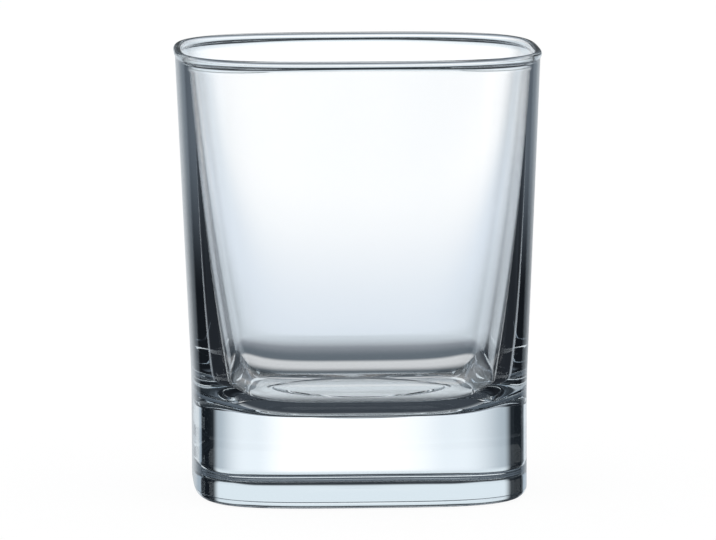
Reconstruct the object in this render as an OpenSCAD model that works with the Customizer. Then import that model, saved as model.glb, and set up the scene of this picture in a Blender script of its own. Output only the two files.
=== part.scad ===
// Heavy-based drinking glass: a rounded square base block that opens into a softly squared rim.
// The whole glass is one piece, drawn as a loft of closed outlines from the underside, up the
// outside, over the rolled rim and down the inside to the middle of the floor.
// Millimetres, +Z up, origin on the table under the middle of the base.

/* [Overall] */
// Height from the table to the top of the rolled rim
glass_h = 96.9; // [80:0.2:120]
// Width across the flats of the rolled rim
rim_w = 80; // [72:0.5:92]
// Width across the flats of the base block at its waist
base_w = 72.8; // [60:0.2:78]

/* [Rim] */
// Thickness of the rolled rim
bead_d = 1.75; // [1.5:0.05:3]
// How far the rolled rim stands out from the wall under it
bead_proud = 0.35; // [0.2:0.05:0.8]
// How far the rolled rim stands in from the inner wall under it
bead_inset = 0.15; // [0.1:0.05:0.4]
// Radius of the hollows under the rolled rim, outside and inside
neck_r = 0.8; // [0.4:0.1:1.6]
// Squareness of the rim outline: 2 is a circle, higher is squarer
rim_squareness = 3.2; // [2:0.05:6]
// Squareness of the mouth's outline just under the rolled rim
mouth_squareness = 3.45; // [2:0.05:6]

/* [Wall] */
// Height of the upright block before the wall leans out
block_h = 23.8; // [14:0.2:30]
// Height over which the upright side eases into the leaning wall
waist_blend = 8.4; // [2:0.5:16]
// Wall thickness at the height where the block ends
wall_low = 6.0; // [2.6:0.1:8]

/* [Base block] */
// Radius of the rounded heel at the foot of the block
heel_r = 2.0; // [1:0.1:8]
// Squareness of the block outline: 2 is a circle, higher is squarer
base_squareness = 3.9; // [3:0.1:10]

/* [Underside] */
// Diameter of the shallow hollow in the underside
punt_d = 26.0; // [20:0.2:50]
// Height of the hollow at its middle
punt_h = 0.25; // [0.1:0.05:3]

/* [Cavity] */
// Thickness of the solid floor at its middle
floor_t = 18.6; // [10:0.2:26]
// Width of the sloping ring between the floor's flat round disc and its fillet
ring_w = 1.8; // [0.6:0.2:8]
// Slope in degrees of that ring
floor_slope = 8.5; // [1:0.5:25]
// Radius of the fillet between the floor and the inner wall
floor_fillet = 9.3; // [3:0.2:12]
// Squareness of the cavity outline at the floor: 2 is a circle, higher is squarer
floor_squareness = 4.4; // [2.6:0.1:8]
// How far the inner wall swells out half way up
cavity_swell = 0.6; // [0:0.05:1]

/* [Hidden] */

// Points round each outline, and steps along each stretch of the section
around = 80;
heel_steps = 6;
side_steps = 4;
blend_steps = 4;
wall_steps = 9;
neck_steps = 3;
bead_steps = 14;
lip_steps = 3;
inner_steps = 12;
fillet_steps = 9;
ring_steps = 3;
disc_steps = 2;
punt_steps = 3;
settle_steps = 6;

// Squareness of a circle
round_squareness = 2;
// A half turn, a quarter turn and a full turn in degrees
half_turn = 180;
quarter_turn = 90;
full_turn = 360;

// Centre of the rolled rim's round section
bead_r = bead_d / 2;
bead_x = rim_w / 2 - bead_r;
bead_z = glass_h - bead_r;

// Half width of the wall just under the rolled rim, outside and inside
neck_x = rim_w / 2 - bead_proud;
lip_x = rim_w / 2 - bead_d + bead_inset;

// The hollows under the rim touch the rolled rim and the wall, outside and inside
neck_reach = bead_r + neck_r;
neck_turn = acos((neck_x + neck_r - bead_x) / neck_reach);
neck_z = bead_z - neck_reach * sin(neck_turn);
lip_turn = acos((bead_x + neck_r - lip_x) / neck_reach);
lip_z = bead_z - neck_reach * sin(lip_turn);

// Outside of the wall: upright below the waist, straight and leaning above it
waist_x = base_w / 2;
wall_slope = (neck_x - waist_x) / (neck_z - block_h);
blend_low = block_h - waist_blend / 2;
blend_high = block_h + waist_blend / 2;

// Inside of the wall: leans from the rim down to the floor fillet, with its own swell
inner_low_x = waist_x - wall_low;
inner_rise = lip_z - block_h;
inner_slope = (lip_x - inner_low_x) / inner_rise;

// Share of the way from one height to another, kept between none and all
function share_between(z, low, high) = min(1, max(0, (z - low) / (high - low)));

// Half width of the outside at a height between the heel and the rim
function outer_x(z) =
    z < blend_low ? waist_x :
    z < blend_high ? waist_x + wall_slope * pow(z - blend_low, 2) / (2 * waist_blend) :
    waist_x + wall_slope * (z - block_h);

// Half width and lean of the inside at a height above the floor fillet
inner_bend = 4 * cavity_swell / pow(inner_rise, 2);
function inner_x(z) =
    inner_low_x + (z - block_h) * (inner_slope + inner_bend * (lip_z - z));
function inner_lean_at(z) = atan(inner_slope + inner_bend * (lip_z + block_h - 2 * z));

// The fillet runs from the sloping ring up to the inner wall and touches both: the lean of the
// wall is taken where the fillet ends, which takes a few tries
ring_z = floor_t + ring_w * tan(floor_slope);
fillet_z = ring_z + floor_fillet * cos(floor_slope);
function settled_lean(lean, tries) =
    tries == 0 ? lean :
    settled_lean(inner_lean_at(fillet_z - floor_fillet * sin(lean)), tries - 1);
inner_lean = settled_lean(atan(inner_slope), settle_steps);
fillet_top_z = fillet_z - floor_fillet * sin(inner_lean);
fillet_x = inner_x(fillet_top_z) - floor_fillet * cos(inner_lean);
ring_x = fillet_x + floor_fillet * sin(floor_slope);
disc_x = ring_x - ring_w;

// Squareness at a height: eases from the block to the rim, and from the floor to the rim
function outer_squareness(z) =
    base_squareness + (rim_squareness - base_squareness) * share_between(z, block_h, neck_z);
function inner_squareness(z) =
    floor_squareness
    + (mouth_squareness - floor_squareness) * share_between(z, fillet_top_z, lip_z);

// Squareness of an outline part way from the round disc to the squared ring, from its corner reach
ring_corner = ring_x * pow(2, 1 / 2 - 1 / floor_squareness);
function ring_squareness(share) =
    1 / (1 / 2 - ln((disc_x + (ring_corner - disc_x) * share)
                    / (disc_x + (ring_x - disc_x) * share)) / ln(2));

// A station of the section: half width, height, squareness
punt_stations = [
    for (i = [1 : punt_steps])
        let (share = i / punt_steps)
        [punt_d / 2 * share, punt_h * (1 - share * share), round_squareness]
];
heel_x = waist_x - heel_r;
heel_stations = [
    for (i = [0 : heel_steps])
        let (turn = quarter_turn * i / heel_steps)
        [heel_x + heel_r * sin(turn), heel_r * (1 - cos(turn)), base_squareness]
];
side_stations = [
    for (i = [1 : side_steps])
        let (z = heel_r + (blend_low - heel_r) * i / side_steps)
        [outer_x(z), z, outer_squareness(z)]
];
blend_stations = [
    for (i = [1 : blend_steps])
        let (z = blend_low + waist_blend * i / blend_steps)
        [outer_x(z), z, outer_squareness(z)]
];
wall_stations = [
    for (i = [1 : wall_steps])
        let (z = blend_high + (neck_z - blend_high) * i / wall_steps)
        [outer_x(z), z, outer_squareness(z)]
];
neck_stations = [
    for (i = [1 : neck_steps])
        let (turn = neck_turn * i / neck_steps)
        [neck_x + neck_r * (1 - cos(turn)), neck_z + neck_r * sin(turn), rim_squareness]
];
bead_stations = [
    for (i = [1 : bead_steps])
        let (turn = -neck_turn + (half_turn + neck_turn + lip_turn) * i / bead_steps)
        [bead_x + bead_r * cos(turn), bead_z + bead_r * sin(turn), rim_squareness]
];
lip_stations = [
    for (i = [1 : lip_steps])
        let (share = 1 - i / lip_steps, turn = lip_turn * share)
        [lip_x - neck_r * (1 - cos(turn)), lip_z + neck_r * sin(turn),
         mouth_squareness + (rim_squareness - mouth_squareness) * share]
];
inner_stations = [
    for (i = [1 : inner_steps])
        let (z = lip_z + (fillet_top_z - lip_z) * i / inner_steps)
        [inner_x(z), z, inner_squareness(z)]
];
fillet_stations = [
    for (i = [1 : fillet_steps])
        let (turn = inner_lean + (quarter_turn - floor_slope - inner_lean) * i / fillet_steps)
        [fillet_x + floor_fillet * cos(turn), fillet_z - floor_fillet * sin(turn), floor_squareness]
];
ring_stations = [
    for (i = [1 : ring_steps])
        let (share = 1 - i / ring_steps)
        [disc_x + (ring_x - disc_x) * share, floor_t + (ring_z - floor_t) * share,
         ring_squareness(share)]
];
disc_stations = [
    for (i = [1 : disc_steps])
        [disc_x * (1 - i / (disc_steps + 1)), floor_t, round_squareness]
];

stations = concat(punt_stations, heel_stations, side_stations, blend_stations, wall_stations,
                  neck_stations, bead_stations, lip_stations, inner_stations, fillet_stations,
                  ring_stations, disc_stations);

// Distance from the axis to a softly squared outline in one direction
function outline_r(half_w, squareness, turn) =
    half_w / pow(pow(abs(cos(turn)), squareness) + pow(abs(sin(turn)), squareness), 1 / squareness);

// One closed outline of the loft
function outline(station) = [
    for (k = [0 : around - 1])
        let (turn = full_turn * k / around, r = outline_r(station[0], station[2], turn))
        [r * cos(turn), r * sin(turn), station[1]]
];

// Triangles of the skin between two neighbouring outlines
function band(row) = [
    for (k = [0 : around - 1])
        let (next = (k + 1) % around, low = row * around, high = low + around)
        each [[low + k, high + k, high + next], [low + k, high + next, low + next]]
];

// Skin of a loft through all stations, closed at a middle point below and above
module loft(rows, first_z, last_z) {
    count = len(rows);
    points = concat([for (station = rows) each outline(station)], [[0, 0, first_z], [0, 0, last_z]]);
    first = count * around;
    last = first + 1;
    top = (count - 1) * around;
    skin = concat(
        [for (k = [0 : around - 1]) [first, k, (k + 1) % around]],
        [for (row = [0 : count - 2]) each band(row)],
        [for (k = [0 : around - 1]) [last, top + (k + 1) % around, top + k]]
    );
    polyhedron(points = points, faces = skin, convexity = 4);
}

module tumbler() {
    color([0.85, 0.9, 0.92, 0.5])
        loft(stations, punt_h, floor_t);
}

tumbler();
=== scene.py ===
"""Looks of a clear, heavy-based drinking glass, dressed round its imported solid.

The glass is a loft of softly squared outlines. Its section is worked out from a few sizes, and a
Geometry Nodes tree turns that section round the axis and squares the outlines. Sizes are fields
in millimetres; meshes are in metres.
"""
import logging
import math
from dataclasses import dataclass, field
from enum import Enum

import bpy
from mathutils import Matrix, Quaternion, Vector


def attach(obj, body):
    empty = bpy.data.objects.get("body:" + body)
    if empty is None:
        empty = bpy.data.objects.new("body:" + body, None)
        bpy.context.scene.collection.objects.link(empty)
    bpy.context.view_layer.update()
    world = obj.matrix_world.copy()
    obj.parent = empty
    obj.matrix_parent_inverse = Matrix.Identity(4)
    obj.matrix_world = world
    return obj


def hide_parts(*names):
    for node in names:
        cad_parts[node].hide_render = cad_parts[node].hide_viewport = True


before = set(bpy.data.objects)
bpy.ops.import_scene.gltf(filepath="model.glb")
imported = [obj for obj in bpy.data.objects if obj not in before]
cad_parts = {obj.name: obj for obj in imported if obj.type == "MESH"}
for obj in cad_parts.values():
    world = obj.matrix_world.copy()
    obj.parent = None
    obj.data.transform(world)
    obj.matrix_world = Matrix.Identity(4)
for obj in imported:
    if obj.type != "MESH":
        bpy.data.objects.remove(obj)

LOG = logging.getLogger("drinking_glass")
MM = 0.001
IMAGE_WIDTH_PX = 716
IMAGE_HEIGHT_PX = 540
ROUND_SQUARENESS = 2.0

Socket = bpy.types.NodeSocket
Colour = tuple[float, float, float]
Number = float | Socket
Shade = Colour | Socket


@dataclass(frozen=True)
class SoftEdge:
    """Where a soft change starts and ends, in degrees or, where its name says so, in mm."""

    start: float
    end: float

    def scaled(self, scale: float) -> "SoftEdge":
        """Returns the same edge in another unit."""
        return SoftEdge(self.start * scale, self.end * scale)


@dataclass(frozen=True)
class Station:
    """One outline of the loft: half width and height in millimetres, and its squareness."""

    half_width: float
    height: float
    squareness: float


@dataclass(frozen=True)
class Steps:
    """How finely each stretch of the section is drawn."""

    punt: int = 12
    heel: int = 24
    side: int = 16
    waist: int = 12
    wall: int = 50
    neck: int = 8
    bead: int = 36
    lip: int = 8
    inner: int = 60
    fillet: int = 30
    ring: int = 10
    groove: int = 10
    disc: int = 8
    settle: int = 6


def share_between(z: float, low: float, high: float) -> float:
    """Returns how far z is from low to high, kept between 0 and 1."""
    return min(1.0, max(0.0, (z - low) / (high - low)))


@dataclass
class GlassSection:
    """Section of the glass from the middle of the underside to the middle of the floor.

    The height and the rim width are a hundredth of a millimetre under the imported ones, so that
    the skin stays inside the solid's box. A squareness of 2 is a circle, and more is squarer.
    """

    glass_h: float = 96.89
    rim_w: float = 79.99
    base_w: float = 72.8
    bead_d: float = 1.75
    bead_proud: float = 0.35
    bead_inset: float = 0.4
    neck_r: float = 1.6
    rim_squareness: float = 3.2
    mouth_squareness: float = 3.45
    block_h: float = 23.8
    waist_blend: float = 8.4
    wall_low: float = 6.0
    heel_r: float = 2.0
    base_squareness: float = 3.9
    punt_d: float = 26.0
    punt_h: float = 0.12
    floor_t: float = 18.6
    ring_w: float = 1.8
    floor_slope: float = 8.5
    floor_fillet: float = 9.3
    floor_squareness: float = 4.4
    cavity_swell: float = 0.6
    groove_r: float = 19.9
    groove_w: float = 2.0
    groove_depth: float = 0.28
    steps: Steps = field(default_factory=Steps)

    def __post_init__(self) -> None:
        """Works out the centres and slopes that the stretches share."""
        self.bead_r = self.bead_d / 2
        self.bead_x = self.rim_w / 2 - self.bead_r
        self.bead_z = self.glass_h - self.bead_r
        self.neck_x = self.rim_w / 2 - self.bead_proud
        self.lip_x = self.rim_w / 2 - self.bead_d + self.bead_inset
        reach = self.bead_r + self.neck_r
        self.neck_turn = math.acos((self.neck_x + self.neck_r - self.bead_x) / reach)
        self.neck_z = self.bead_z - reach * math.sin(self.neck_turn)
        self.lip_turn = math.acos((self.bead_x + self.neck_r - self.lip_x) / reach)
        self.lip_z = self.bead_z - reach * math.sin(self.lip_turn)
        self.waist_x = self.base_w / 2
        self.wall_slope = (self.neck_x - self.waist_x) / (self.neck_z - self.block_h)
        self.blend_low = self.block_h - self.waist_blend / 2
        self.blend_high = self.block_h + self.waist_blend / 2
        self.inner_low_x = self.waist_x - self.wall_low
        self.inner_rise = self.lip_z - self.block_h
        self.inner_slope = (self.lip_x - self.inner_low_x) / self.inner_rise
        self.inner_bend = 4 * self.cavity_swell / self.inner_rise**2
        self.settle_fillet(math.radians(self.floor_slope))

    def settle_fillet(self, slope: float) -> None:
        """Finds the fillet that touches the inner wall and the sloping floor.

        Args:
            slope: The slope of the floor outside the disc, in radians.
        """
        radius = self.floor_fillet
        self.ring_z = self.floor_t + self.ring_w * math.tan(slope)
        self.fillet_z = self.ring_z + radius * math.cos(slope)
        self.lean = math.atan(self.inner_slope)
        for _ in range(self.steps.settle):
            self.lean = self.inner_lean_at(self.fillet_z - radius * math.sin(self.lean))
        self.fillet_top_z = self.fillet_z - radius * math.sin(self.lean)
        self.fillet_x = self.inner_x(self.fillet_top_z) - radius * math.cos(self.lean)
        self.fillet_end = math.pi / 2 - slope
        self.ring_x = self.fillet_x + radius * math.sin(slope)
        self.disc_x = self.ring_x - self.ring_w

    def outer_x(self, z: float) -> float:
        """Follows the outside: upright, easing out at the waist, then straight and leaning.

        Args:
            z: A height between the heel and the rim.

        Returns:
            The half width at that height.
        """
        if z < self.blend_low:
            return self.waist_x
        if z < self.blend_high:
            rise = z - self.blend_low
            return self.waist_x + self.wall_slope * rise * rise / (2 * self.waist_blend)
        return self.waist_x + self.wall_slope * (z - self.block_h)

    def inner_x(self, z: float) -> float:
        """Half width of the inside at height z, above the floor fillet."""
        bend = self.inner_bend * (self.lip_z - z)
        return self.inner_low_x + (z - self.block_h) * (self.inner_slope + bend)

    def inner_lean_at(self, z: float) -> float:
        """Lean of the inner wall at height z, in radians."""
        bend = self.inner_bend * (self.lip_z + self.block_h - 2 * z)
        return math.atan(self.inner_slope + bend)

    def outer_squareness(self, z: float) -> float:
        """Squareness of the outside at height z."""
        share = share_between(z, self.block_h, self.neck_z)
        return self.base_squareness + (self.rim_squareness - self.base_squareness) * share

    def inner_squareness(self, z: float) -> float:
        """Squareness of the inside at height z."""
        share = share_between(z, self.fillet_top_z, self.lip_z)
        return self.floor_squareness + (self.mouth_squareness - self.floor_squareness) * share

    def ring_squareness(self, share: float) -> float:
        """Works out a squareness from how far the outline reaches at its corners and sides.

        Args:
            share: How far the outline is from the round disc to the squared ring.

        Returns:
            The outline's squareness.
        """
        far = self.ring_x * 2 ** (1 / 2 - 1 / self.floor_squareness)
        corner = self.disc_x + (far - self.disc_x) * share
        side = self.disc_x + (self.ring_x - self.disc_x) * share
        return 1 / (1 / 2 - math.log2(corner / side))

    def underside(self) -> list[Station]:
        """Draws the shallow hollow, from its middle out to its edge.

        Returns:
            Its stations.
        """
        made = []
        for i in range(self.steps.punt + 1):
            share = i / self.steps.punt
            z = self.punt_h * (1 - share * share)
            made.append(Station(self.punt_d / 2 * share, z, ROUND_SQUARENESS))
        return made

    def outside(self) -> list[Station]:
        """Draws the heel, the upright block and the leaning wall.

        Returns:
            Their stations.
        """
        made = []
        heel_x = self.waist_x - self.heel_r
        for i in range(self.steps.heel + 1):
            turn = math.pi / 2 * i / self.steps.heel
            x = heel_x + self.heel_r * math.sin(turn)
            z = self.heel_r * (1 - math.cos(turn))
            made.append(Station(x, z, self.outer_squareness(z)))
        stretches = (
            (self.heel_r, self.blend_low, self.steps.side),
            (self.blend_low, self.blend_high, self.steps.waist),
            (self.blend_high, self.neck_z, self.steps.wall),
        )
        for low, high, count in stretches:
            for i in range(1, count + 1):
                z = low + (high - low) * i / count
                made.append(Station(self.outer_x(z), z, self.outer_squareness(z)))
        return made

    def rim(self) -> list[Station]:
        """Draws the rolled rim's round section and the hollows under it.

        Returns:
            Their stations.
        """
        made = []
        for i in range(1, self.steps.neck + 1):
            turn = self.neck_turn * i / self.steps.neck
            x = self.neck_x + self.neck_r * (1 - math.cos(turn))
            z = self.neck_z + self.neck_r * math.sin(turn)
            made.append(Station(x, z, self.rim_squareness))
        for i in range(1, self.steps.bead + 1):
            turn = (math.pi + self.neck_turn + self.lip_turn) * i / self.steps.bead
            turn -= self.neck_turn
            x = self.bead_x + self.bead_r * math.cos(turn)
            z = self.bead_z + self.bead_r * math.sin(turn)
            made.append(Station(x, z, self.rim_squareness))
        for i in range(1, self.steps.lip + 1):
            share = 1 - i / self.steps.lip
            turn = self.lip_turn * share
            x = self.lip_x - self.neck_r * (1 - math.cos(turn))
            z = self.lip_z + self.neck_r * math.sin(turn)
            squareness = self.mouth_squareness
            squareness += (self.rim_squareness - self.mouth_squareness) * share
            made.append(Station(x, z, squareness))
        return made

    def inside(self) -> list[Station]:
        """Draws the inner wall and the fillet at its foot.

        Returns:
            Their stations.
        """
        made = []
        for i in range(1, self.steps.inner + 1):
            z = self.lip_z + (self.fillet_top_z - self.lip_z) * i / self.steps.inner
            made.append(Station(self.inner_x(z), z, self.inner_squareness(z)))
        for i in range(1, self.steps.fillet + 1):
            turn = self.lean + (self.fillet_end - self.lean) * i / self.steps.fillet
            x = self.fillet_x + self.floor_fillet * math.cos(turn)
            z = self.fillet_z - self.floor_fillet * math.sin(turn)
            made.append(Station(x, z, self.floor_squareness))
        return made

    def floor(self) -> list[Station]:
        """Draws the sloping ring, the fine groove and the flat disc of the floor.

        Returns:
            Their stations.
        """
        made = []
        for i in range(1, self.steps.ring + 1):
            share = 1 - i / self.steps.ring
            x = self.disc_x + (self.ring_x - self.disc_x) * share
            z = self.floor_t + (self.ring_z - self.floor_t) * share
            made.append(Station(x, z, self.ring_squareness(share)))
        for i in range(self.steps.groove + 1):
            share = i / self.steps.groove
            x = self.groove_r + self.groove_w * (1 / 2 - share)
            z = self.floor_t - self.groove_depth * math.sin(math.pi * share)
            made.append(Station(x, z, ROUND_SQUARENESS))
        for i in range(1, self.steps.disc + 1):
            x = (self.groove_r - self.groove_w / 2) * (1 - i / self.steps.disc)
            made.append(Station(x, self.floor_t, ROUND_SQUARENESS))
        return made

    def stations(self) -> list[Station]:
        """All stations in order."""
        return self.underside() + self.outside() + self.rim() + self.inside() + self.floor()


class NodeSheet:
    """Adds nodes to a node tree and joins them by socket."""

    def __init__(self, tree: bpy.types.NodeTree) -> None:
        """Keeps the tree that the nodes go into."""
        self.tree = tree

    def add(self, kind: str, **settings: object) -> bpy.types.Node:
        """Adds a node and sets its properties.

        Args:
            kind: The node's type, such as ShaderNodeMath.
            settings: Property names and values.

        Returns:
            The new node.
        """
        node = self.tree.nodes.new(kind)
        for name, value in settings.items():
            setattr(node, name, value)
        return node

    def feed(self, socket: Socket, value: Number | Shade) -> None:
        """Links an output socket to an input, or sets the input's value.

        Args:
            socket: The input.
            value: An output socket, a number or a colour.
        """
        if isinstance(value, Socket):
            self.tree.links.new(value, socket)
        elif isinstance(value, tuple):
            socket.default_value = (*value, 1.0)
        else:
            socket.default_value = value

    def math(self, operation: str, *values: Number) -> Socket:
        """Adds a Math node.

        Args:
            operation: What it works out.
            values: Its inputs, in order.

        Returns:
            Its result.
        """
        node = self.add("ShaderNodeMath", operation=operation)
        for socket, value in zip(node.inputs, values):
            self.feed(socket, value)
        return node.outputs["Value"]

    def split(self, vector: Socket) -> bpy.types.NodeOutputs:
        """Splits a vector.

        Args:
            vector: What to split.

        Returns:
            Its X, Y and Z.
        """
        node = self.add("ShaderNodeSeparateXYZ")
        self.feed(node.inputs["Vector"], vector)
        return node.outputs

    def place(self) -> bpy.types.NodeOutputs:
        """Returns X, Y and Z of the shaded point on its object, in metres."""
        return self.split(self.add("ShaderNodeTexCoord").outputs["Object"])

    def step(self, value: Socket, edge: SoftEdge) -> Socket:
        """Steps softly up as a value passes an edge.

        Args:
            value: The value.
            edge: Where the step starts and ends.

        Returns:
            0 before the edge and 1 after it.
        """
        node = self.add("ShaderNodeMapRange", interpolation_type="SMOOTHSTEP")
        self.feed(node.inputs["Value"], value)
        self.feed(node.inputs["From Min"], edge.start)
        self.feed(node.inputs["From Max"], edge.end)
        return node.outputs["Result"]

    def blend(self, share: Socket, low: Shade, high: Shade) -> Socket:
        """Mixes two colours.

        Args:
            share: The share of the second one.
            low: The first colour.
            high: The second colour.

        Returns:
            The mixed colour.
        """
        node = self.add("ShaderNodeMix", data_type="RGBA")
        sockets = {socket.identifier: socket for socket in node.inputs}
        self.feed(sockets["Factor_Float"], share)
        self.feed(sockets["A_Color"], low)
        self.feed(sockets["B_Color"], high)
        return next(socket for socket in node.outputs if socket.identifier == "Result_Color")

    def blend_shaders(self, share: Socket, low: Socket, high: Socket) -> Socket:
        """Mixes two shaders.

        Args:
            share: The share of the second one.
            low: The first shader.
            high: The second shader.

        Returns:
            The mixed shader.
        """
        node = self.add("ShaderNodeMixShader")
        for socket, value in zip(node.inputs, (share, low, high)):
            self.feed(socket, value)
        return node.outputs["Shader"]

    def emission(self, colour: Shade) -> Socket:
        """Adds a plain glow.

        Args:
            colour: Its colour.

        Returns:
            The shader.
        """
        node = self.add("ShaderNodeEmission")
        self.feed(node.inputs["Color"], colour)
        return node.outputs["Emission"]


class FieldKind(Enum):
    """What a field of the section holds."""

    NUMBER = "FLOAT"
    PLACE = "FLOAT_VECTOR"


@dataclass
class LoftTree:
    """Geometry Nodes tree that turns a section line into the glass's closed skin."""

    name: str = "squared_loft"
    points_round: int = 256
    weld_mm: float = 0.001
    squareness_field: str = "squareness"

    def interface(self, tree: bpy.types.NodeTree) -> dict[str, str]:
        """Makes the tree's named inputs.

        Args:
            tree: The tree to give them to.

        Returns:
            Each input's name and its socket identifier.
        """
        inputs = {
            "Geometry": "NodeSocketGeometry",
            "Stations": "NodeSocketInt",
            "Points Round": "NodeSocketInt",
            "Weld Distance": "NodeSocketFloat",
            "Material": "NodeSocketMaterial",
        }
        made = {}
        for name, kind in inputs.items():
            socket = tree.interface.new_socket(name, in_out="INPUT", socket_type=kind)
            made[name] = socket.identifier
        tree.interface.new_socket("Geometry", in_out="OUTPUT", socket_type="NodeSocketGeometry")
        return made

    def sampled(
        self, sheet: NodeSheet, section: Socket, kind: FieldKind, value: Socket, row: Socket
    ) -> Socket:
        """Reads a value of the section at a row.

        Args:
            sheet: Where the nodes go.
            section: The section's geometry.
            kind: What the field holds.
            value: The field to read.
            row: Which station to read it at.

        Returns:
            The value at that station.
        """
        node = sheet.add("GeometryNodeSampleIndex", data_type=kind.value, domain="POINT")
        sheet.feed(node.inputs["Geometry"], section)
        sheet.feed(node.inputs["Value"], value)
        sheet.feed(node.inputs["Index"], row)
        return node.outputs["Value"]

    def section_squareness(self, sheet: NodeSheet) -> Socket:
        """Finds the squareness that the section line carries.

        Args:
            sheet: Where the nodes go.

        Returns:
            The field.
        """
        node = sheet.add("GeometryNodeInputNamedAttribute", data_type=FieldKind.NUMBER.value)
        node.inputs["Name"].default_value = self.squareness_field
        return node.outputs["Attribute"]

    def squared_point(
        self, sheet: NodeSheet, place: Socket, squareness: Socket, turn: Socket
    ) -> Socket:
        """Places a point of an outline: x of place is its half width and z its height.

        Args:
            sheet: Where the nodes go.
            place: The station's place.
            squareness: The outline's squareness.
            turn: The point's direction in radians.

        Returns:
            The point's position.
        """
        station = sheet.split(place)
        across = sheet.math("COSINE", turn)
        along = sheet.math("SINE", turn)
        sides = [
            sheet.math("POWER", sheet.math("ABSOLUTE", side), squareness)
            for side in (across, along)
        ]
        total = sheet.math("ADD", *sides)
        root = sheet.math("POWER", total, sheet.math("DIVIDE", 1.0, squareness))
        radius = sheet.math("DIVIDE", station["X"], root)
        join = sheet.add("ShaderNodeCombineXYZ")
        sheet.feed(join.inputs["X"], sheet.math("MULTIPLY", radius, across))
        sheet.feed(join.inputs["Y"], sheet.math("MULTIPLY", radius, along))
        sheet.feed(join.inputs["Z"], station["Z"])
        return join.outputs["Vector"]

    def build(self) -> tuple[bpy.types.NodeTree, dict[str, str]]:
        """Builds the tree.

        Returns:
            The tree, and each input's name and socket identifier.
        """
        tree = bpy.data.node_groups.new(self.name, "GeometryNodeTree")
        identifiers = self.interface(tree)
        sheet = NodeSheet(tree)
        source = sheet.add("NodeGroupInput").outputs
        section = source["Geometry"]
        around = sheet.math("ADD", source["Points Round"], 1.0)
        grid = sheet.add("GeometryNodeMeshGrid")
        sheet.feed(grid.inputs["Vertices X"], source["Stations"])
        sheet.feed(grid.inputs["Vertices Y"], around)
        index = sheet.add("GeometryNodeInputIndex").outputs["Index"]
        row = sheet.math("FLOOR", sheet.math("DIVIDE", sheet.math("ADD", index, 1 / 2), around))
        column = sheet.math("SUBTRACT", index, sheet.math("MULTIPLY", row, around))
        share = sheet.math("DIVIDE", column, source["Points Round"])
        turn = sheet.math("MULTIPLY", share, 2 * math.pi)
        position = sheet.add("GeometryNodeInputPosition").outputs["Position"]
        place = self.sampled(sheet, section, FieldKind.PLACE, position, row)
        squareness = self.section_squareness(sheet)
        squareness = self.sampled(sheet, section, FieldKind.NUMBER, squareness, row)
        bend = sheet.add("GeometryNodeSetPosition")
        sheet.feed(bend.inputs["Geometry"], grid.outputs["Mesh"])
        sheet.feed(bend.inputs["Position"], self.squared_point(sheet, place, squareness, turn))
        weld = sheet.add("GeometryNodeMergeByDistance")
        sheet.feed(weld.inputs["Geometry"], bend.outputs["Geometry"])
        sheet.feed(weld.inputs["Distance"], source["Weld Distance"])
        outward = sheet.add("GeometryNodeFlipFaces")
        sheet.feed(outward.inputs["Mesh"], weld.outputs["Geometry"])
        smooth = sheet.add("GeometryNodeSetShadeSmooth")
        sheet.feed(smooth.inputs["Geometry"], outward.outputs["Mesh"])
        real = sheet.add("GeometryNodeRealizeInstances")
        sheet.feed(real.inputs["Geometry"], smooth.outputs["Geometry"])
        dress = sheet.add("GeometryNodeSetMaterial")
        sheet.feed(dress.inputs["Geometry"], real.outputs["Geometry"])
        sheet.feed(dress.inputs["Material"], source["Material"])
        sheet.feed(sheet.add("NodeGroupOutput").inputs["Geometry"], dress.outputs["Geometry"])
        return tree, identifiers


def bare_material(name: str) -> tuple[bpy.types.Material, NodeSheet]:
    """Makes a material with an empty node tree.

    Args:
        name: The material's name.

    Returns:
        The material, and a sheet to add its nodes with.
    """
    made = bpy.data.materials.new(name)
    made.use_nodes = True
    made.node_tree.nodes.clear()
    return made, NodeSheet(made.node_tree)


@dataclass(frozen=True)
class GlassFinish:
    """Clear soda-lime glass with a faint cool tint that shows only through its depth."""

    name: str = "clear_glass"
    surface: Colour = (1.0, 1.0, 1.0)
    ior: float = 1.52
    roughness: float = 0.0
    transmission: float = 1.0
    depth_colour: Colour = (0.6, 0.88, 1.0)
    depth_density: float = 1.0
    # Painted glow for light that has run round inside the glass: dark low down, pale higher up
    trapped_bounces: float = 8.0
    trapped_edge_mm: SoftEdge = SoftEdge(25.0, 80.0)
    trapped_dark: Colour = (0.008, 0.01, 0.013)
    trapped_pale: Colour = (0.12, 0.147, 0.178)

    def material(self) -> bpy.types.Material:
        """Makes the glass.

        Returns:
            The material.
        """
        made, sheet = bare_material(self.name)
        skin = sheet.add("ShaderNodeBsdfPrincipled")
        skin.inputs["Base Color"].default_value = (*self.surface, 1.0)
        skin.inputs["Roughness"].default_value = self.roughness
        skin.inputs["IOR"].default_value = self.ior
        skin.inputs["Transmission Weight"].default_value = self.transmission
        passes = sheet.add("ShaderNodeLightPath").outputs["Ray Depth"]
        trapped = sheet.math("GREATER_THAN", passes, self.trapped_bounces - 1 / 2)
        glass = sheet.blend_shaders(trapped, skin.outputs["BSDF"], self.trapped_light(sheet))
        depth = sheet.add("ShaderNodeVolumeAbsorption")
        depth.inputs["Color"].default_value = (*self.depth_colour, 1.0)
        depth.inputs["Density"].default_value = self.depth_density
        output = sheet.add("ShaderNodeOutputMaterial")
        sheet.feed(output.inputs["Surface"], glass)
        sheet.feed(output.inputs["Volume"], depth.outputs["Volume"])
        return made

    def trapped_light(self, sheet: NodeSheet) -> Socket:
        """Paints a dim slate glow on the glass for light that has run round inside, with painted
        shade dimmer towards the base.

        Args:
            sheet: Where the nodes go.

        Returns:
            The shader.
        """
        high = sheet.step(sheet.place()["Z"], self.trapped_edge_mm.scaled(MM))
        return sheet.emission(sheet.blend(high, self.trapped_dark, self.trapped_pale))


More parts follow.
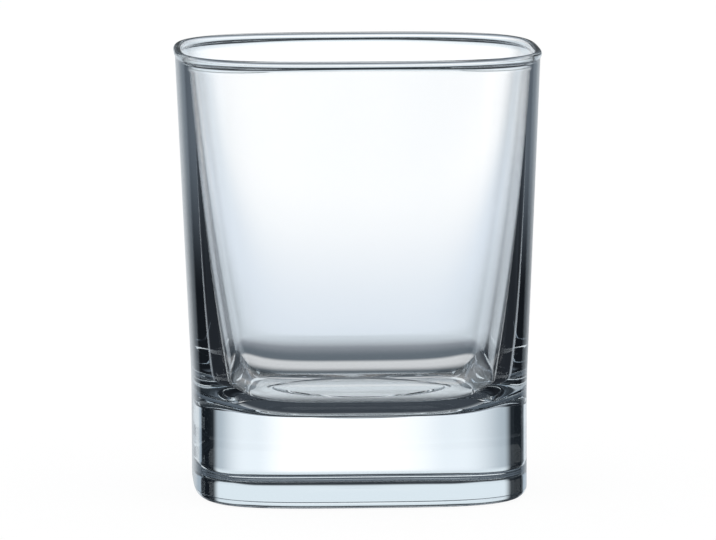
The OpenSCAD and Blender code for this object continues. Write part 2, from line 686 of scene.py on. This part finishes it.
@dataclass
class Tumbler:
    """The whole glass, which is one piece."""

    name: str = "tumbler_glass"
    section: GlassSection = field(default_factory=GlassSection)
    loft: LoftTree = field(default_factory=LoftTree)
    finish: GlassFinish = field(default_factory=GlassFinish)

    def section_line(self) -> bpy.types.Object:
        """Makes the section as a line of points that carry their squareness.

        Returns:
            The line.
        """
        stations = self.section.stations()
        mesh = bpy.data.meshes.new("section_line")
        places = [(s.half_width * MM, 0.0, s.height * MM) for s in stations]
        mesh.from_pydata(places, [(i, i + 1) for i in range(len(places) - 1)], [])
        numbers = mesh.attributes.new(
            self.loft.squareness_field, FieldKind.NUMBER.value, "POINT"
        )
        numbers.data.foreach_set("value", [s.squareness for s in stations])
        line = bpy.data.objects.new("section_line", mesh)
        bpy.context.scene.collection.objects.link(line)
        return line

    def build(self) -> bpy.types.Object:
        """Builds the glass's mesh and dresses it.

        Returns:
            The finished piece, at the origin.
        """
        line = self.section_line()
        tree, inputs = self.loft.build()
        turned = line.modifiers.new(self.loft.name, "NODES")
        turned.node_group = tree
        turned[inputs["Stations"]] = len(line.data.vertices)
        turned[inputs["Points Round"]] = self.loft.points_round
        turned[inputs["Weld Distance"]] = self.loft.weld_mm * MM
        turned[inputs["Material"]] = self.finish.material()
        evaluated = line.evaluated_get(bpy.context.evaluated_depsgraph_get())
        mesh = bpy.data.meshes.new_from_object(evaluated)
        line.modifiers.clear()
        bpy.data.objects.remove(line)
        glass = bpy.data.objects.new(self.name, mesh)
        bpy.context.scene.collection.objects.link(glass)
        return glass


def lay_square(
    name: str, half_mm: float, drop_mm: float, material: bpy.types.Material
) -> bpy.types.Object:
    """Lays a flat square under the middle of the glass, facing up.

    Args:
        name: The square's name.
        half_mm: Half of its side.
        drop_mm: How far it lies under the glass.
        material: Its material.

    Returns:
        The square.
    """
    s, z = half_mm * MM, -drop_mm * MM
    mesh = bpy.data.meshes.new(name)
    mesh.from_pydata([(-s, -s, z), (s, -s, z), (s, s, z), (-s, s, z)], [], [(0, 1, 2, 3)])
    mesh.materials.append(material)
    square = bpy.data.objects.new(name, mesh)
    bpy.context.scene.collection.objects.link(square)
    return square


@dataclass(frozen=True)
class FloorWhite:
    """The floor's white, which keeps only part of the shadow."""

    name: str = "floor_white"
    colour: Colour = (0.95, 0.95, 0.95)
    light: Colour = (1.0, 1.0, 1.0)
    glow: float = 0.93

    def material(self) -> bpy.types.Material:
        """Makes the white.

        Returns:
            The material.
        """
        made, sheet = bare_material(self.name)
        paint = sheet.add("ShaderNodeBsdfDiffuse")
        sheet.feed(paint.inputs["Color"], self.colour)
        seen = sheet.add("ShaderNodeLightPath").outputs["Is Camera Ray"]
        share = sheet.math("MULTIPLY", seen, self.glow)
        white = sheet.blend_shaders(share, paint.outputs["BSDF"], sheet.emission(self.light))
        sheet.feed(sheet.add("ShaderNodeOutputMaterial").inputs["Surface"], white)
        return made


@dataclass
class StudioFloor:
    """A plain pale floor with a soft shadow under the glass."""

    half_mm: float = 12000.0
    drop_mm: float = 0.06
    finish: FloorWhite = field(default_factory=FloorWhite)

    def build(self) -> bpy.types.Object:
        """Lays the floor just under the bearing ring, out of the glass's sight.

        Returns:
            The floor.
        """
        floor = lay_square("floor", self.half_mm, self.drop_mm, self.finish.material())
        floor.visible_transmission = False
        floor.visible_glossy = False
        return floor


@dataclass(frozen=True)
class TableShade:
    """Tones of the table in the glass's own shade, darker towards the viewer."""

    name: str = "shaded_table"
    back_edge_mm: SoftEdge = SoftEdge(-16.0, -1.0)
    dark: Colour = (0.045, 0.055, 0.068)
    pale: Colour = (0.74, 0.8, 0.84)

    def material(self) -> bpy.types.Material:
        """Makes the shade.

        Returns:
            The material.
        """
        made, sheet = bare_material(self.name)
        # Painted shadow of the glass: dark towards the viewer, paler towards the back
        back = sheet.step(sheet.place()["Y"], self.back_edge_mm.scaled(MM))
        light = sheet.emission(sheet.blend(back, self.dark, self.pale))
        sheet.feed(sheet.add("ShaderNodeOutputMaterial").inputs["Surface"], light)
        return made


@dataclass
class ShadedPatch:
    """A glowing sheet of painted shadow for the table right under the glass, which only the glass
    itself shows.
    """

    half_mm: float = 34.0
    drop_mm: float = 0.03
    finish: TableShade = field(default_factory=TableShade)

    def build(self) -> bpy.types.Object:
        """Lays the patch between the glass and the floor.

        Returns:
            The patch.
        """
        patch = lay_square("shaded_table", self.half_mm, self.drop_mm, self.finish.material())
        patch.visible_camera = False
        patch.visible_diffuse = False
        patch.visible_shadow = False
        return patch


@dataclass(frozen=True)
class Direction:
    """A direction from the glass, in degrees."""

    side: Socket
    off_wall: Socket
    rise: Socket


@dataclass
class StudioLight:
    """Soft light of a white backdrop between dark screens, a table, a ceiling and side walls.

    Angles round the glass are measured from the backdrop's middle, at axis, or for the side walls
    and the table's sides from wall_axis. Angles up are measured from the level.
    """

    axis: float = 5.0
    wall_axis: float = 2.5

    # Backdrop, screens, side walls and back, by the angle round the glass
    haze_edge: SoftEdge = SoftEdge(0.5, 9.0)
    beside_edge: SoftEdge = SoftEdge(12.0, 29.0)
    screen_edge: SoftEdge = SoftEdge(28.5, 36.5)
    wall_edge: SoftEdge = SoftEdge(59.5, 63.5)
    window_edge: SoftEdge = SoftEdge(86.0, 94.0)
    back_edge: SoftEdge = SoftEdge(104.0, 116.0)
    white: Colour = (1.16, 1.175, 1.185)
    haze: Colour = (0.88, 0.95, 1.01)
    beside: Colour = (0.44, 0.51, 0.57)
    screen: Colour = (0.008, 0.011, 0.015)
    wall: Colour = (0.38, 0.47, 0.56)
    window: Colour = (0.6, 0.68, 0.76)
    back: Colour = (0.08, 0.1, 0.115)

    # Table, by the angle down, with the glass's painted shadow and painted caustic, and dark
    # sides
    table_edge: SoftEdge = SoftEdge(-13.3, -9.7)
    table_side: SoftEdge = SoftEdge(18.0, 26.0)
    table_far: SoftEdge = SoftEdge(-16.4, -12.5)
    table_middle: SoftEdge = SoftEdge(-25.5, -16.6)
    table_near: SoftEdge = SoftEdge(-34.0, -21.0)
    caustic_far: SoftEdge = SoftEdge(-42.0, -37.0)
    caustic_near: SoftEdge = SoftEdge(-66.0, -49.0)
    foot_edge: SoftEdge = SoftEdge(-62.0, -34.0)
    table_white: Colour = (0.83, 0.91, 1.0)
    table_pale: Colour = (0.62, 0.69, 0.75)
    table_mid: Colour = (0.31, 0.34, 0.38)
    table_dim: Colour = (0.14, 0.17, 0.2)
    caustic: Colour = (0.72, 0.74, 0.76)
    under: Colour = (0.1, 0.12, 0.14)
    foot_dark: Colour = (0.015, 0.018, 0.023)
    foot_pale: Colour = (0.05, 0.062, 0.072)
    table_back: Colour = (0.08, 0.1, 0.115)

    # Ceiling, by the angle up
    upper_edge: SoftEdge = SoftEdge(-7.0, 9.0)
    ceiling_edge: SoftEdge = SoftEdge(11.0, 18.0)
    ceiling_side: SoftEdge = SoftEdge(9.0, 21.0)
    ceiling_lift: float = 6.0
    overhead_edge: SoftEdge = SoftEdge(60.0, 70.0)
    upper: Colour = (0.75, 0.84, 0.9)
    ceiling_dark: Colour = (0.03, 0.038, 0.046)
    overhead: Colour = (0.5, 0.56, 0.61)

    # Pale room past the screens, for light straight through the block or the walls
    past_block: float = 3.0
    past_walls: float = 5.0
    past_margin: float = 0.25
    clear_side: SoftEdge = SoftEdge(34.0, 42.0)
    clear_low: SoftEdge = SoftEdge(-17.0, -13.0)
    clear_far: SoftEdge = SoftEdge(62.0, 70.0)
    clear: Colour = (0.88, 0.94, 0.98)

    # Mirror reflections on the glass, which are dimmed
    mirrored_high: SoftEdge = SoftEdge(-5.0, 1.0)
    mirrored_low: SoftEdge = SoftEdge(-15.0, -11.0)
    mirrored_side: SoftEdge = SoftEdge(35.0, 70.0)
    mirrored_least: float = 0.4
    mirrored_share: float = 0.12
    black: Colour = (0.0, 0.0, 0.0)

    def middle(self, sheet: NodeSheet, look: Direction) -> Socket:
        """Paints eye height: backdrop, screen, side wall, window, back.

        Args:
            sheet: Where the nodes go.
            look: The direction.

        Returns:
            The colour.
        """
        shade = self.step_to(sheet, look.side, self.haze_edge, self.white, self.haze)
        shade = self.step_to(sheet, look.side, self.beside_edge, shade, self.beside)
        shade = self.step_to(sheet, look.side, self.screen_edge, shade, self.screen)
        shade = self.step_to(sheet, look.off_wall, self.wall_edge, shade, self.wall)
        shade = self.step_to(sheet, look.off_wall, self.window_edge, shade, self.window)
        return self.step_to(sheet, look.off_wall, self.back_edge, shade, self.back)

    def table(self, sheet: NodeSheet, look: Direction) -> Socket:
        """Paints the table: a lit strip with the glass's shadow and caustic, dark sides.

        Args:
            sheet: Where the nodes go.
            look: The direction.

        Returns:
            The colour.
        """
        rise = look.rise
        strip = self.step_to(sheet, rise, self.caustic_near, self.under, self.caustic)
        strip = self.step_to(sheet, rise, self.caustic_far, strip, self.table_dim)
        strip = self.step_to(sheet, rise, self.table_near, strip, self.table_mid)
        strip = self.step_to(sheet, rise, self.table_middle, strip, self.table_pale)
        strip = self.step_to(sheet, rise, self.table_far, strip, self.table_white)
        foot = self.step_to(sheet, rise, self.foot_edge, self.foot_pale, self.foot_dark)
        shade = self.step_to(sheet, look.off_wall, self.table_side, strip, foot)
        return self.step_to(sheet, look.side, self.back_edge, shade, self.table_back)

    def above(self, sheet: NodeSheet, look: Direction) -> Socket:
        """Paints above the level: the backdrop's top, the screens, the walls and the back.

        Args:
            sheet: Where the nodes go.
            look: The direction.

        Returns:
            The colour.
        """
        shade = self.step_to(sheet, look.side, self.screen_edge, self.upper, self.screen)
        shade = self.step_to(sheet, look.side, self.wall_edge, shade, self.wall)
        return self.step_to(sheet, look.side, self.back_edge, shade, self.overhead)

    def ceiling(self, sheet: NodeSheet, look: Direction, below: Socket) -> Socket:
        """Adds the dark ceiling, which starts a little higher beside the backdrop's middle.

        Args:
            sheet: Where the nodes go.
            look: The direction.
            below: The colour without the ceiling.

        Returns:
            The colour with it.
        """
        beside = sheet.step(look.side, self.ceiling_side)
        lift = sheet.math("MULTIPLY", beside, self.ceiling_lift)
        lowered = sheet.math("SUBTRACT", look.rise, lift)
        shade = self.step_to(sheet, lowered, self.ceiling_edge, below, self.ceiling_dark)
        return self.step_to(sheet, look.rise, self.overhead_edge, shade, self.overhead)

    def straight(self, sheet: NodeSheet, look: Direction, depth: Socket) -> Socket:
        """Finds the light that went straight through the glass, past the screens.

        Args:
            sheet: Where the nodes go.
            look: The direction.
            depth: The light's place in its path.

        Returns:
            The share of the pale room in it.
        """
        passes = sheet.math(
            "ADD",
            sheet.math("COMPARE", depth, self.past_block, self.past_margin),
            sheet.math("COMPARE", depth, self.past_walls, self.past_margin),
        )
        beside = sheet.step(look.side, self.clear_side)
        above = sheet.step(look.rise, self.clear_low)
        low = sheet.math("MULTIPLY", beside, sheet.math("SUBTRACT", 1.0, above))
        far = sheet.step(look.side, self.clear_far)
        return sheet.math("MULTIPLY", passes, sheet.math("MAXIMUM", low, far))

    def mirror_dimmed(self, sheet: NodeSheet, look: Direction) -> Socket:
        """Finds how far mirror reflections are dimmed: most above the level and beside.

        Args:
            sheet: Where the nodes go.
            look: The direction.

        Returns:
            The share of the full dimming.
        """
        high = sheet.step(look.rise, self.mirrored_high)
        low = sheet.step(look.rise, self.mirrored_low)
        beside = sheet.step(look.side, self.mirrored_side)
        dimmed = sheet.math("MAXIMUM", high, sheet.math("MULTIPLY", low, beside))
        return sheet.math("MAXIMUM", dimmed, self.mirrored_least)

    def step_to(
        self, sheet: NodeSheet, angle: Socket, edge: SoftEdge, low: Shade, high: Shade
    ) -> Socket:
        """Changes softly from one colour to another as an angle passes an edge.

        Args:
            sheet: Where the nodes go.
            angle: The angle, in degrees.
            edge: Where the change starts and ends.
            low: The colour before the edge.
            high: The colour after it.

        Returns:
            The colour at the angle.
        """
        return sheet.blend(sheet.step(angle, edge), low, high)

    def direction(self, sheet: NodeSheet) -> Direction:
        """Turns the way that the light comes from into angles.

        Args:
            sheet: Where the nodes go.

        Returns:
            The direction.
        """
        ray = sheet.add("ShaderNodeVectorMath", operation="NORMALIZE")
        place = sheet.add("ShaderNodeTexCoord").outputs["Generated"]
        sheet.feed(ray.inputs["Vector"], place)
        x, y, z = sheet.split(ray.outputs["Vector"])
        turn = sheet.math("DEGREES", sheet.math("ARCTAN2", x, y))
        return Direction(
            side=sheet.math("ABSOLUTE", sheet.math("SUBTRACT", turn, self.axis)),
            off_wall=sheet.math("ABSOLUTE", sheet.math("SUBTRACT", turn, self.wall_axis)),
            rise=sheet.math("DEGREES", sheet.math("ARCSINE", z)),
        )

    def world(self) -> bpy.types.World:
        """Makes the surroundings that the glass shows by direction.

        Returns:
            The world.
        """
        made = bpy.data.worlds.new("studio")
        made.use_nodes = True
        made.node_tree.nodes.clear()
        sheet = NodeSheet(made.node_tree)
        look = self.direction(sheet)
        table, middle = self.table(sheet, look), self.middle(sheet, look)
        shade = self.step_to(sheet, look.rise, self.table_edge, table, middle)
        above = self.above(sheet, look)
        shade = self.step_to(sheet, look.rise, self.upper_edge, shade, above)
        shade = self.ceiling(sheet, look, shade)
        light = sheet.add("ShaderNodeLightPath").outputs
        straight = self.straight(sheet, look, light["Ray Depth"])
        shade = sheet.blend(straight, shade, self.clear)
        through, glossy = light["Is Transmission Ray"], light["Is Glossy Ray"]
        mirrored = sheet.math("MAXIMUM", sheet.math("SUBTRACT", glossy, through), 0.0)
        mirrored = sheet.math("MULTIPLY", mirrored, self.mirror_dimmed(sheet, look))
        dimmed = sheet.math("MULTIPLY", mirrored, 1.0 - self.mirrored_share)
        shade = sheet.blend(dimmed, shade, self.black)
        shown = sheet.math("MAXIMUM", glossy, through)
        shade = sheet.blend(shown, self.white, shade)
        glow = sheet.add("ShaderNodeBackground")
        sheet.feed(glow.inputs["Color"], shade)
        output = sheet.add("ShaderNodeOutputWorld")
        sheet.feed(output.inputs["Surface"], glow.outputs["Background"])
        return made

    def build(self) -> None:
        """Lights the scene."""
        bpy.context.scene.world = self.world()


@dataclass
class ProductCamera:
    """The photograph's viewpoint: a long lens a little above the rim."""

    distance_mm: float = 1540.0
    elevation: float = 6.57
    azimuth: float = -2.8
    aim_mm: tuple[float, float, float] = (0.12, 0.0, 48.0)
    focal_px: float = 7018.0
    optical_y_px: float = 268.4
    roll: float = -0.21
    sensor_mm: float = 36.0

    def build(self) -> bpy.types.Object:
        """Makes the camera and sets it as the scene's camera.

        Returns:
            The camera.
        """
        data = bpy.data.cameras.new("product_camera")
        data.sensor_width = self.sensor_mm
        data.lens = self.focal_px / IMAGE_WIDTH_PX * self.sensor_mm
        data.shift_y = (self.optical_y_px - IMAGE_HEIGHT_PX / 2) / IMAGE_WIDTH_PX
        turn, rise = math.radians(self.azimuth), math.radians(self.elevation)
        back = Vector(
            (math.sin(turn) * math.cos(rise), -math.cos(turn) * math.cos(rise), math.sin(rise))
        )
        camera = bpy.data.objects.new("product_camera", data)
        camera.location = (Vector(self.aim_mm) + back * self.distance_mm) * MM
        camera.rotation_mode = "QUATERNION"
        level = (-back).to_track_quat("-Z", "Y")
        tilt = Quaternion((0.0, 0.0, 1.0), math.radians(self.roll))
        camera.rotation_quaternion = level @ tilt
        bpy.context.scene.collection.objects.link(camera)
        bpy.context.scene.camera = camera
        return camera


@dataclass(frozen=True)
class LightPaths:
    """How often light may pass through the glass and be mirrored in it."""

    passes: int = 32
    mirrorings: int = 24

    def build(self) -> None:
        """Sets the numbers, and the plain view of colours, on the scene."""
        scene = bpy.context.scene
        scene.cycles.max_bounces = self.passes
        scene.cycles.transmission_bounces = self.passes
        scene.cycles.glossy_bounces = self.mirrorings
        scene.view_settings.view_transform = "Standard"


def main() -> None:
    """Builds the glass and its studio, and reports the glass's face count."""
    logging.basicConfig(level=logging.INFO, format="%(name)s: %(message)s")
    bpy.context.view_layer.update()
    ProductCamera().build()
    LightPaths().build()
    StudioLight().build()
    StudioFloor().build()
    ShadedPatch().build()
    glass = Tumbler().build()
    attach(glass, "root")
    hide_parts("tumbler")
    LOG.info("%s: %d faces", glass.name, len(glass.data.polygons))


if __name__ == "__main__":
    main()
